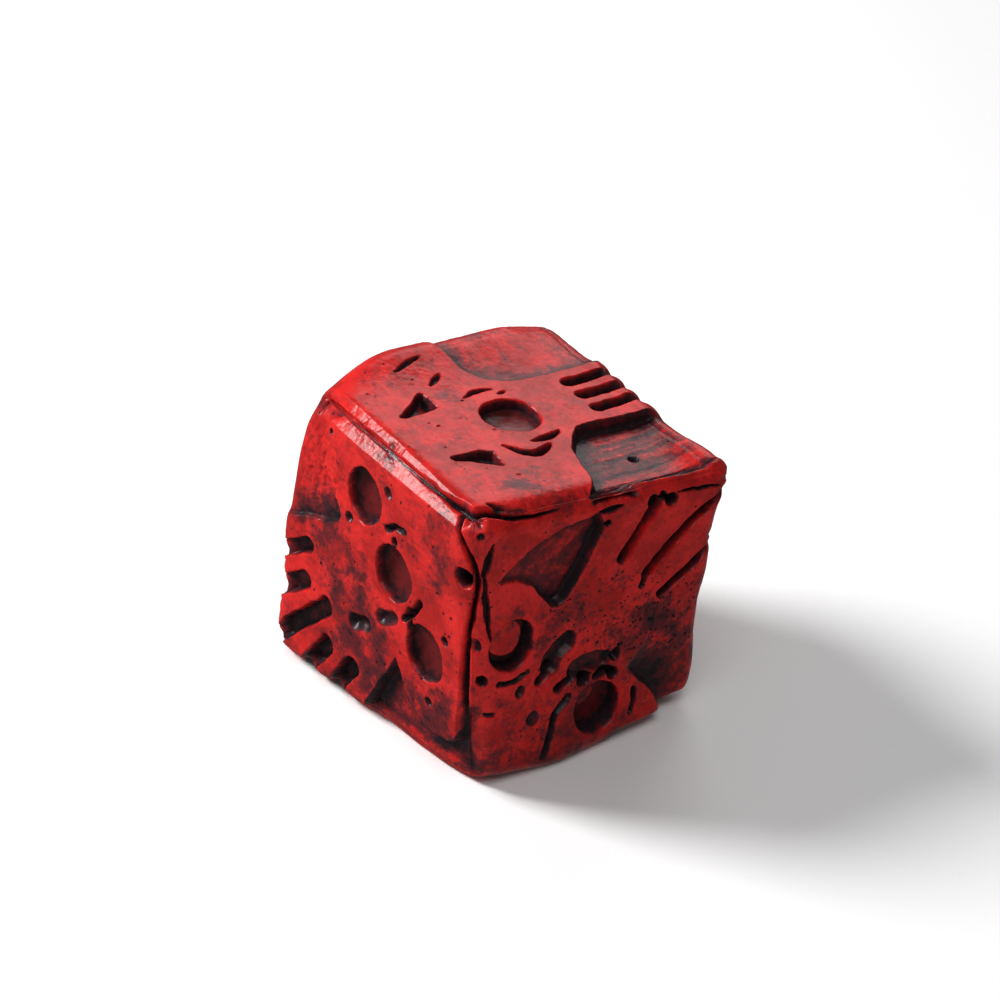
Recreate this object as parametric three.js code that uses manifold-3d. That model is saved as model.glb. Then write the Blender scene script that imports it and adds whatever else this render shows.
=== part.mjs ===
// A chunky resin skull die. Each of its six faces is a raised skull relief on its own
// slab, the six slabs close around a core block, and the numbers are deep round sockets
// with a pool of dark wash in the floor of each one.
//
// Millimetres, +Z up. The origin is the centre of the face that the die rests on.
import * as THREE from 'three';
import { RoundedBoxGeometry } from 'three/addons/geometries/RoundedBoxGeometry.js';
import { mergeVertices } from 'three/addons/utils/BufferGeometryUtils.js';
import Module from 'manifold-3d';

const wasm = await Module();
wasm.setup();

// Driving dimensions.
const EDGE = 26.2;
const HALF = EDGE / 2;
const SLAB_THICKNESS = 4;
const SEAM_GAP = 0.3;
const CORE_GAP = 0.45;
const EDGE_RADIUS = 2.2;
const EDGE_SEGMENTS = 3;

// Depths of the carving, measured down from a slab's highest surface.
const RECESS_DEPTH = 1.1;
const SHALLOW_DEPTH = 0.7;
const SLOT_DEPTH = 1.4;
const EYE_DEPTH = 1.6;
const MARK_DEPTH = 0.7;
const SOCKET_DEPTH = 2.3;

// The sockets and the wash inlays that lie in them.
const SOCKET_RADIUS = 2.45;
const SOCKET_SEGMENTS = 20;
const INLAY_CLEARANCE = 0.3;
const INLAY_THICKNESS = 0.5;

const PAST_EDGE = HALF + 2;
const CUTTER_RISE = 2;
const CURVE_STEPS = 2;
const MERGE_DISTANCE = 1e-4;

// The die is cast by hand, so no corner is quite square. Each row is a corner's side
// along X, Y and Z, then how far that corner lies from its place on a true cube.
const CORNER_SHIFTS = [
  { side: [-1, -1, 1], shift: [0.25, 0.55, 0.8] },
  { side: [-1, 1, 1], shift: [0.15, 0.7, -0.2] },
  { side: [1, 1, 1], shift: [0.75, -0.95, -1.4] },
  { side: [1, -1, 1], shift: [-1.0, -0.35, 0.35] },
  { side: [-1, -1, -1], shift: [-0.4, -1.45, 0] },
  { side: [1, -1, -1], shift: [1.0, 1.0, 0] },
  { side: [1, 1, -1], shift: [-0.85, 0.55, 0] },
];

const COLOURS = {
  resin: { color: 0xb52a2b, roughness: 0.32, metalness: 0 },
  core: { color: 0x3a0f10, roughness: 0.5, metalness: 0 },
  wash: { color: 0x2a1416, roughness: 0.25, metalness: 0 },
};

const X = new THREE.Vector3(1, 0, 0);
const Y = new THREE.Vector3(0, 1, 0);
const Z = new THREE.Vector3(0, 0, 1);

// ---- Outlines, drawn in a face's own plane: across, up, from the face's centre ----

// A closed outline: a smooth curve through some points, then straight runs.
function curvedOutline(curve, corners) {
  const shape = new THREE.Shape();
  shape.moveTo(...curve[0]);
  shape.splineThru(curve.slice(1).map((point) => new THREE.Vector2(...point)));
  for (const corner of corners) {
    shape.lineTo(...corner);
  }
  return shape;
}

function polygon(corners) {
  const shape = new THREE.Shape();
  shape.moveTo(...corners[0]);
  for (const corner of corners.slice(1)) {
    shape.lineTo(...corner);
  }
  return shape;
}

// A slot with round ends, its width measured across.
function slot(from, to, width) {
  const turn = Math.atan2(to[1] - from[1], to[0] - from[0]);
  const shape = new THREE.Shape();
  shape.absarc(from[0], from[1], width / 2, turn + Math.PI / 2, turn + Math.PI * 1.5);
  shape.absarc(to[0], to[1], width / 2, turn - Math.PI / 2, turn + Math.PI / 2);
  return shape;
}

// A curved mark with pointed ends. A positive bulge is to the left of its direction.
function crescent(from, to, bulge, width) {
  const start = new THREE.Vector2(...from);
  const end = new THREE.Vector2(...to);
  const across = end.clone().sub(start).normalize().rotateAround(new THREE.Vector2(), Math.PI / 2);
  const middle = start.clone().add(end).multiplyScalar(0.5);
  const outer = middle.clone().addScaledVector(across, 2 * bulge + width);
  const inner = middle.clone().addScaledVector(across, 2 * bulge - width);
  const shape = new THREE.Shape();
  shape.moveTo(start.x, start.y);
  shape.quadraticCurveTo(outer.x, outer.y, end.x, end.y);
  shape.quadraticCurveTo(inner.x, inner.y, start.x, start.y);
  return shape;
}

// ---- The six faces. Opposite faces add up to seven ----

const FACES = [
  {
    number: 1,
    across: X,
    up: Y,
    sockets: [[0, -0.4]],
    shallows: [
      curvedOutline(
        [[-PAST_EDGE, -2.6], [-11.4, -0.8], [-8.4, -0.4], [-5.8, 0.7], [-4.6, 3], [-4.4, 5.4]],
        [[-4.4, PAST_EDGE], [-PAST_EDGE, PAST_EDGE]],
      ),
    ],
    recesses: [
      curvedOutline(
        [[3.3, 5], [4, 3.4], [5.8, 1.8], [8.6, 0.7], [11.6, -0.1], [PAST_EDGE, -3]],
        [[PAST_EDGE, PAST_EDGE], [3.3, PAST_EDGE]],
      ),
    ],
    slots: [
      slot([-2.6, 6.8], [-3, PAST_EDGE], 1.4),
      slot([-0.5, 6.8], [-0.8, PAST_EDGE], 1.4),
      slot([1.6, 6.8], [1.3, PAST_EDGE], 1.4),
    ],
    eyes: [
      polygon([[-5.9, -5.6], [-2.9, -9.6], [-3.3, -5.4]]),
      polygon([[4.2, -5.2], [3.8, -6.6], [3.9, -9.2], [4.6, -9.2], [6.9, -5.7]]),
    ],
    marks: [
      crescent([3.5, 2.1], [4.2, -0.9], 0.2, 0.6),
      crescent([5.3, 0.1], [4.1, -3.8], 1.1, 0.8),
      crescent([-4.3, 0.3], [-4, -2.4], -0.1, 0.5),
      crescent([-10.3, -3.2], [-9.5, -5.9], 0.1, 0.6),
      crescent([-7.5, -2.7], [-6.6, -4.2], 0.1, 0.6),
      crescent([12.5, -7.6], [11.3, -10.2], 0.3, 0.7),
    ],
  },
  {
    number: 2,
    across: Y,
    up: Z,
    sockets: [[-9, 0.5], [0.4, -8.7]],
    shallows: [],
    recesses: [
      curvedOutline(
        [[0.2, 10], [-0.6, 11.2], [-4.6, 10.2], [-8, 8.8], [-10.4, 6.7], [-8.2, 6.2], [-6.2, 4.6], [-4.6, 3]],
        [[-3.8, 3]],
      ),
      curvedOutline(
        [[3.6, -5.6], [6, -8.4], [7, -10.4], [7.6, -PAST_EDGE]],
        [[PAST_EDGE, -PAST_EDGE], [PAST_EDGE, -4.9]],
      ),
    ],
    slots: [
      slot([2.4, 6.3], [5.5, 10.9], 1.4),
      slot([5.1, 3.9], [PAST_EDGE, 12.6], 1.4),
      slot([7.1, 1.1], [PAST_EDGE, 6.2], 1.3),
    ],
    eyes: [
      slot([-3.5, -1.2], [-5.1, -3], 1.6),
      slot([-1.4, -4.1], [1, -3.8], 1.2),
    ],
    marks: [
      crescent([-2.8, -6.6], [-5.4, -11.2], -0.9, 0.9),
      crescent([4.4, -8.6], [4.3, -11.2], 0.1, 0.9),
      crescent([-10.6, -2.8], [-7.2, -3], -0.2, 0.5),
    ],
  },
  {
    number: 3,
    across: X,
    up: Z,
    sockets: [[-2.2, 7.1], [2.4, 2.4], [6.9, -2.6]],
    shallows: [
      curvedOutline(
        [[-7.2, PAST_EDGE], [-7.6, 11.6], [-8.7, 10.4], [-9.1, 8.6], [-8.6, 7.2], [-6.8, 5.8], [-5.2, 3.8], [-6, 2.6], [-8.4, 1.6], [-PAST_EDGE, -0.4]],
        [[-PAST_EDGE, PAST_EDGE]],
      ),
    ],
    recesses: [
      curvedOutline(
        [[3.2, -5.1], [4, -6.3], [5.8, -8.3], [8.8, -9.3], [10.4, -8.6], [11.2, -7.4]],
        [[11.3, -PAST_EDGE], [-1, -PAST_EDGE]],
      ),
    ],
    slots: [
      slot([-9.2, -1.3], [-PAST_EDGE, -4.5], 1.6),
      slot([-9.1, -4.6], [-PAST_EDGE, -8.4], 1.9),
      slot([-5.9, -5.3], [-PAST_EDGE, -14.6], 1.8),
      slot([-5.4, -8.7], [-9.7, -PAST_EDGE], 1.8),
      slot([-2.1, -9], [-6.1, -PAST_EDGE], 1.8),
    ],
    eyes: [],
    marks: [
      crescent([0.8, 5.4], [3.8, 7.1], 0.2, 0.7),
      crescent([4.9, 0.8], [7.1, 2.8], 0.1, 0.7),
      crescent([1.1, -2.5], [3.8, -0.8], 0.1, 0.9),
      crescent([-2.3, -4.7], [0.3, -3.5], 0.2, 0.9),
    ],
  },
  {
    number: 4,
    across: X.clone().negate(),
    up: Z,
    sockets: [[-4.6, 4], [4.6, 4], [-4.6, -4.2], [4.6, -4.2]],
    shallows: [],
    recesses: [
      curvedOutline([[-4.8, 10.6], [-3.4, 8.8], [0.2, 8], [3.8, 8.8], [5.2, 10.6]], [[0.2, 9.8]]),
      curvedOutline(
        [[-8, -11], [-8.2, -8], [-9, -4.4], [-10.4, -1.8]],
        [[-11.4, -3.2], [-11.4, -11]],
      ),
      curvedOutline(
        [[10.4, -1.8], [9, -4.4], [8.2, -8], [8, -11]],
        [[11.4, -11], [11.4, -3.2]],
      ),
    ],
    slots: [-5.2, -2.6, 0, 2.6, 5.2].map((place) => slot([place, -8.8], [place, -PAST_EDGE], 1.3)),
    eyes: [polygon([[-1.2, -1.4], [1.2, -1.4], [0, 1.4]])],
    marks: [
      crescent([-8.6, 6.8], [-8.4, 1.6], -0.5, 0.7),
      crescent([8.4, 1.6], [8.6, 6.8], -0.5, 0.7),
    ],
  },
  {
    number: 5,
    across: Y.clone().negate(),
    up: Z,
    sockets: [[-5.2, 5.2], [5.2, 5.2], [0, 0], [-5.2, -5.2], [5.2, -5.2]],
    shallows: [],
    recesses: [
      curvedOutline(
        [[-8, -11], [-8.2, -8], [-9, -4.4], [-10.4, -1.8]],
        [[-11.4, -3.2], [-11.4, -11]],
      ),
      curvedOutline(
        [[10.4, -1.8], [9, -4.4], [8.2, -8], [8, -11]],
        [[11.4, -11], [11.4, -3.2]],
      ),
    ],
    slots: [-4.4, -1.5, 1.5, 4.4].map((place) => slot([place, -9.4], [place, -PAST_EDGE], 1.3)),
    eyes: [],
    marks: [
      crescent([-3.6, 1.6], [-4, -1.6], -0.4, 0.7),
      crescent([4, -1.6], [3.6, 1.6], -0.4, 0.7),
      crescent([-9.2, 8], [-9.8, 3.4], -0.3, 0.7),
      crescent([9.8, 3.4], [9.2, 8], -0.3, 0.7),
    ],
  },
  {
    number: 6,
    across: X,
    up: Y.clone().negate(),
    sockets: [[-5, 6.2], [5, 6.2], [-5, 0], [5, 0], [-5, -6.2], [5, -6.2]],
    shallows: [],
    recesses: [
      curvedOutline(
        [[-PAST_EDGE, -1.6], [-11, -2.8], [-9.2, -6], [-8.2, -9.6], [-7.6, -PAST_EDGE]],
        [[-PAST_EDGE, -PAST_EDGE]],
      ),
      curvedOutline(
        [[7.6, -PAST_EDGE], [8.2, -9.6], [9.2, -6], [11, -2.8], [PAST_EDGE, -1.6]],
        [[PAST_EDGE, -PAST_EDGE]],
      ),
    ],
    slots: [-4.4, -1.5, 1.5, 4.4].map((place) => slot([place, -10.4], [place, -PAST_EDGE], 1.2)),
    eyes: [],
    marks: [
      crescent([-9.4, 8.4], [-9, 3.4], -0.3, 0.7),
      crescent([9, 3.4], [9.4, 8.4], -0.3, 0.7),
    ],
  },
];

// ---- Solids ----

function solidFrom(geometry) {
  const plain = geometry.clone();
  plain.deleteAttribute('normal');
  plain.deleteAttribute('uv');
  plain.clearGroups();
  const merged = mergeVertices(plain, MERGE_DISTANCE);
  return new wasm.Manifold(new wasm.Mesh({
    numProp: 3,
    vertProperties: new Float32Array(merged.attributes.position.array),
    triVerts: new Uint32Array(merged.index.array),
  }));
}

function geometryFrom(solid) {
  const mesh = solid.getMesh();
  const geometry = new THREE.BufferGeometry();
  geometry.setAttribute('position', new THREE.BufferAttribute(new Float32Array(mesh.vertProperties), 3));
  geometry.setIndex(new THREE.BufferAttribute(new Uint32Array(mesh.triVerts), 1));
  return geometry;
}

// A cutter of one outline, reaching from above the face down to a depth below it.
function cutter(shape, depth) {
  const geometry = new THREE.ExtrudeGeometry(shape, {
    depth: depth + CUTTER_RISE,
    bevelEnabled: false,
    curveSegments: CURVE_STEPS,
  });
  geometry.translate(0, 0, HALF - depth);
  return solidFrom(geometry);
}

// A round bar along the face's normal, between two depths below the face.
function roundBar(place, radius, top, bottom) {
  const geometry = new THREE.CylinderGeometry(radius, radius, bottom - top, SOCKET_SEGMENTS);
  geometry.rotateX(Math.PI / 2);
  geometry.translate(place[0], place[1], HALF - (top + bottom) / 2);
  return geometry;
}

// The square frustum that one face may fill, its sides mitred to meet the other faces.
function mitredFrustum(sideGap) {
  const inner = HALF - SLAB_THICKNESS;
  const outer = HALF + CUTTER_RISE;
  const frustum = new THREE.CylinderGeometry(
    (outer - sideGap) * Math.SQRT2,
    (inner - sideGap) * Math.SQRT2,
    outer - inner,
    4,
    1,
    false,
    Math.PI / 4,
  );
  frustum.rotateX(Math.PI / 2);
  frustum.translate(0, 0, (inner + outer) / 2);
  return solidFrom(frustum);
}

// The plain slab, rounded off along the die's edges.
function slabBlank() {
  const rounded = new RoundedBoxGeometry(EDGE, EDGE, EDGE, EDGE_SEGMENTS, EDGE_RADIUS);
  return mitredFrustum(SEAM_GAP / Math.SQRT2).intersect(solidFrom(rounded));
}

function carvedSlab(blank, face) {
  const cuts = [
    ...face.shallows.map((shape) => cutter(shape, SHALLOW_DEPTH)),
    ...face.recesses.map((shape) => cutter(shape, RECESS_DEPTH)),
    ...face.slots.map((shape) => cutter(shape, SLOT_DEPTH)),
    ...face.eyes.map((shape) => cutter(shape, EYE_DEPTH)),
    ...face.marks.map((shape) => cutter(shape, MARK_DEPTH)),
    ...face.sockets.map((place) => solidFrom(roundBar(place, SOCKET_RADIUS, -CUTTER_RISE, SOCKET_DEPTH))),
  ];
  const carved = cuts.reduce((slab, cut) => slab.subtract(cut), blank);
  return geometryFrom(carved);
}

// A disc of dried wash. A socket close to an edge runs into the seam, so the disc stops short.
function inlay(place, pocket) {
  const bottom = SOCKET_DEPTH - INLAY_CLEARANCE;
  const disc = roundBar(place, SOCKET_RADIUS - INLAY_CLEARANCE, bottom - INLAY_THICKNESS, bottom);
  return geometryFrom(solidFrom(disc).intersect(pocket));
}

// Moves every point with the cube's corners, then stands the die on its lowest face.
function castByHand(geometry) {
  const position = geometry.attributes.position;
  const point = new THREE.Vector3();
  for (let index = 0; index < position.count; index += 1) {
    point.fromBufferAttribute(position, index);
    const moved = point.clone();
    for (const { side, shift } of CORNER_SHIFTS) {
      const nearness = ['x', 'y', 'z'].reduce(
        (product, axis, place) => product * (1 + (side[place] * point[axis]) / HALF) / 2,
        1,
      );
      moved.addScaledVector(new THREE.Vector3(...shift), nearness);
    }
    position.setXYZ(index, moved.x, moved.y, moved.z + HALF);
  }
  geometry.computeVertexNormals();
  return geometry;
}

// ---- The assembly ----

const group = new THREE.Group();

function addPiece(name, geometry, look) {
  const piece = new THREE.Mesh(castByHand(geometry), new THREE.MeshStandardMaterial(look));
  piece.name = name;
  group.add(piece);
}

const coreEdge = EDGE - 2 * (SLAB_THICKNESS + CORE_GAP);
addPiece('core_block', new THREE.BoxGeometry(coreEdge, coreEdge, coreEdge), COLOURS.core);

const blank = slabBlank();
const pocket = mitredFrustum(SEAM_GAP / Math.SQRT2 + INLAY_CLEARANCE * Math.SQRT2);
for (const face of FACES) {
  const turn = new THREE.Matrix4().makeBasis(face.across, face.up, face.across.clone().cross(face.up));
  addPiece(`face_${face.number}_slab`, carvedSlab(blank, face).applyMatrix4(turn), COLOURS.resin);
  face.sockets.forEach((place, index) => {
    addPiece(`face_${face.number}_pip_${index + 1}`, inlay(place, pocket).applyMatrix4(turn), COLOURS.wash);
  });
}

export default group;
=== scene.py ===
# A hand-cast resin skull die. Six relief faces in glossy red meet in dark crevices, and a
# brown-black wash has dried in every hollow and on the floor of each number socket.
import itertools
import math

import bpy
import numpy as np
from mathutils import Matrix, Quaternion, Vector


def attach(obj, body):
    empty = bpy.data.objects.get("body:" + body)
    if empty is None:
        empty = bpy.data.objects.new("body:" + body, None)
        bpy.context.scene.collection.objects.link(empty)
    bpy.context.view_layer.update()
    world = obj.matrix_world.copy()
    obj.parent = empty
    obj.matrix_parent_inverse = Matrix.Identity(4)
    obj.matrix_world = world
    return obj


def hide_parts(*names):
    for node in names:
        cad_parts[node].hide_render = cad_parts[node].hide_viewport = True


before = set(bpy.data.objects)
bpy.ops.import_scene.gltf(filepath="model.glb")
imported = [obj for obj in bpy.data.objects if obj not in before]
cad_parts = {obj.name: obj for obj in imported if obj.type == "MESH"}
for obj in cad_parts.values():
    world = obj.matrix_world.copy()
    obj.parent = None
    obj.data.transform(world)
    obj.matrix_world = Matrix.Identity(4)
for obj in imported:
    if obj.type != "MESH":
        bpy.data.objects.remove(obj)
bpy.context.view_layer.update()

# ---- Sizes, in millimetres ----

MM = 0.001
EDGE = 26.2
HALF = EDGE / 2
EDGE_RADIUS = 2.2
INNER = HALF - EDGE_RADIUS
CHART = INNER + EDGE_RADIUS * math.pi / 4   # from a face's centre to the mitre, along the skin
SLAB_BACK = 8.4                             # how far a slab's hidden back lies from the centre
MITRE_GAP = 0.0003                          # share of its width by which a slab clears the mitre
FAR = 15.0                                  # past any edge

GRID = 308
SPACING = 2 * CHART / GRID
SIDE = np.linspace(-CHART, CHART, GRID + 1)
JOIN_REACH = 1.2                            # how far from an edge two faces are eased together

TOOTH_GAP_DEPTH = 1.2                       # the deepest that the three's tooth gaps go
TOOTH_GAP_RISE = 0.75                       # how much less deep they may go where they meet an edge

SOCKET_RADIUS = 2.35
SOCKET_DEPTH = 1.9                          # from the face down to the carved floor
WASH_DEPTH = 1.2                            # from the face down to the dried wash
OUTLINE_WOBBLE = 0.13                       # long bends of every cut line
OUTLINE_NICKS = 0.07                        # short nicks on top of them
THIN_WASH = 0.12                            # left on the plain surface when the rest is wiped off

INLAY_RINGS = 26
INLAY_SPOKES = 72
INLAY_OVERLAP = 0.15                        # how far the dried wash reaches into the socket's wall
INLAY_BASE = 0.2                            # how far it reaches below the carved floor
INLAY_CLIMB = 0.5                           # how far it climbs at its rim

# How far each corner of the cast lies from its place on a true cube.
CORNER_SHIFTS = {
    (-1, -1, 1): (0.25, 0.55, 0.8),
    (-1, 1, 1): (0.15, 0.7, -0.2),
    (1, 1, 1): (0.75, -0.95, -1.4),
    (1, -1, 1): (-1.0, -0.35, 0.35),
    (-1, -1, -1): (-0.4, -1.45, 0.0),
    (1, -1, -1): (1.0, 1.0, 0.0),
    (1, 1, -1): (-0.85, 0.55, 0.0),
}

# Which way is across and up on each face, seen from outside.
FACE_AXES = {
    1: ((1, 0, 0), (0, 1, 0)),
    2: ((0, 1, 0), (0, 0, 1)),
    3: ((1, 0, 0), (0, 0, 1)),
    4: ((-1, 0, 0), (0, 0, 1)),
    5: ((0, -1, 0), (0, 0, 1)),
    6: ((1, 0, 0), (0, -1, 0)),
}

# The crevice along an edge, as rows of: place along the edge, how far it strays onto the
# higher-numbered face, half its width, and its depth.
PLAIN_CREVICE = [(-13.1, 0.0, 0.5, 1.2), (-4, 0.4, 0.3, 0.8), (4, -0.3, 0.3, 0.8), (13.1, 0.0, 0.5, 1.2)]
CREVICES = {
    (4, 5): PLAIN_CREVICE,
    (4, 6): PLAIN_CREVICE,
    (5, 6): PLAIN_CREVICE,
    (2, 3): [
        (-13.1, 0.4, 1.4, 0.5), (-11.4, 0.5, 1.3, 0.6), (-9.4, 0.7, 1.0, 0.8), (-7.4, 0.9, 0.9, 0.9),
        (-5.4, 0.9, 0.7, 0.9), (-3.4, 0.8, 0.55, 1.0), (-0.4, 0.7, 0.45, 1.1), (1.8, 0.5, 0.4, 1.1),
        (5.6, -0.2, 0.36, 1.1), (7.2, -0.4, 0.36, 1.1), (8.6, 0.0, 0.4, 1.1), (9.8, 0.7, 0.4, 1.0),
        (11.2, 1.6, 0.4, 0.9), (12.6, 2.4, 0.45, 0.9),
    ],
    (1, 3): [
        (-11.9, 0.5, 0.15, 0.02), (-8.4, 0.3, 0.2, 0.35), (-1.4, 0.25, 0.22, 0.5), (3.6, 0.25, 0.24, 0.6),
        (7.1, 0.15, 0.34, 0.9), (9.6, -0.1, 0.7, 1.2), (11.2, -0.3, 0.75, 1.2), (13.1, -0.8, 0.6, 1.3),
    ],
    (1, 2): [
        (-13.1, -1.2, 0.5, 1.5), (-11.6, -0.8, 0.6, 1.6), (-9.8, -0.2, 0.5, 1.4), (-8.6, 0.3, 0.34, 1.1),
        (-6.6, 0.5, 0.25, 0.8), (-4.8, 0.4, 0.18, 0.3), (-3.6, 0.3, 0.15, 0.05), (11.9, 0.0, 0.15, 0.05),
    ],
}

# Where the cast is worn away or swollen: two ends of a line, its reach, and how far it stands out.
BULGES = [
    ((-13, -13, 13), (-13, -13, 13), 3.8, -1.5),
    ((13, -13, -13), (13, -13, -13), 3.2, -0.9),
    ((12.5, -3, -13), (12.5, 12, -13), 3.6, 0.9),
    ((10, 13, 13), (13, 13, 12), 3.0, 0.8),
    ((-13, -13, -2), (-13, -13, 8), 2.2, 0.45),
    ((-13, -4, 13), (-13, 6, 13), 4.5, 1.0),
    ((13, 13, -5), (13, 13, -2), 2.6, -0.4),
    ((-4, 13, 13), (11, 13, 13), 2.2, 0.45),
    ((13, 13, -13), (13, 13, -13), 3.4, -1.2),
]


# ---- Noise and curves ----

def ease(value):
    """A smooth step from 0 to 1."""
    value = np.clip(value, 0, 1)
    return value * value * (3 - 2 * value)


def noise(points, size, seed):
    """Smooth lumps from -1 to 1, each about `size` across, in two or three dimensions."""
    values = np.random.default_rng(seed).uniform(-1, 1, 4096)
    primes = (73856093, 19349663, 83492791)
    cell = np.floor(points / size).astype(np.int64)
    part = ease(points / size - cell)
    total = np.zeros(points.shape[:-1])
    for corner in itertools.product((0, 1), repeat=points.shape[-1]):
        mixed = np.zeros(points.shape[:-1], np.int64)
        weight = np.ones(points.shape[:-1])
        for axis, step in enumerate(corner):
            mixed ^= (cell[..., axis] + step) * primes[axis]
            weight *= part[..., axis] if step else 1 - part[..., axis]
        total += weight * values[mixed & 4095]
    return total


def layered_noise(points, size, seed, layers=3):
    """Noise with finer and fainter noise on top of it."""
    return sum(noise(points, size / 2**layer, seed + layer) / 2**layer for layer in range(layers))


def curve(points, steps=8):
    """A smooth path through some points."""
    points = np.array(points, float)
    ends = np.vstack([2 * points[0] - points[1], points, 2 * points[-1] - points[-2]])
    path = []
    for before, start, end, after in zip(ends, ends[1:], ends[2:], ends[3:]):
        for t in np.arange(steps) / steps:
            path.append(0.5 * (
                2 * start + (end - before) * t
                + (2 * before - 5 * start + 4 * end - after) * t**2
                + (3 * start - before - 3 * end + after) * t**3
            ))
    path.append(points[-1])
    return [tuple(point) for point in path]


def blur(field, width):
    """A Gaussian blur of a grid, its width in millimetres."""
    sigma = width / SPACING
    reach = int(3 * sigma) + 1
    kernel = np.exp(-0.5 * (np.arange(-reach, reach + 1) / sigma) ** 2)
    kernel /= kernel.sum()
    for axis in (0, 1):
        padded = np.pad(field, [(reach, reach) if a == axis else (0, 0) for a in (0, 1)], "edge")
        field = np.apply_along_axis(lambda line: np.convolve(line, kernel, "valid"), axis, padded)
    return field


# ---- The skin of the die ----

def rounded_cube(u, v):
    """Places and normals in a face's own axes, for distances across and up along the skin."""
    flat_u = np.clip(u, -INNER, INNER)
    flat_v = np.clip(v, -INNER, INNER)
    lean = [np.tan((u - flat_u) / EDGE_RADIUS), np.tan((v - flat_v) / EDGE_RADIUS)]
    normal = np.stack([*lean, np.ones_like(u)], -1)
    normal /= np.linalg.norm(normal, axis=-1, keepdims=True)
    place = np.stack([flat_u, flat_v, np.full_like(u, INNER)], -1) + EDGE_RADIUS * normal
    return place, normal


def cast_by_hand(points):
    """Moves points with the cube's corners, and stands the die flat on the six."""
    moved = points.copy()
    for side, shift in CORNER_SHIFTS.items():
        nearness = np.prod((1 + np.array(side) * points / HALF) / 2, axis=-1, keepdims=True)
        moved += nearness * np.array(shift)
    moved[..., 2] = np.maximum(moved[..., 2] + HALF, 0)
    return moved


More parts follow.
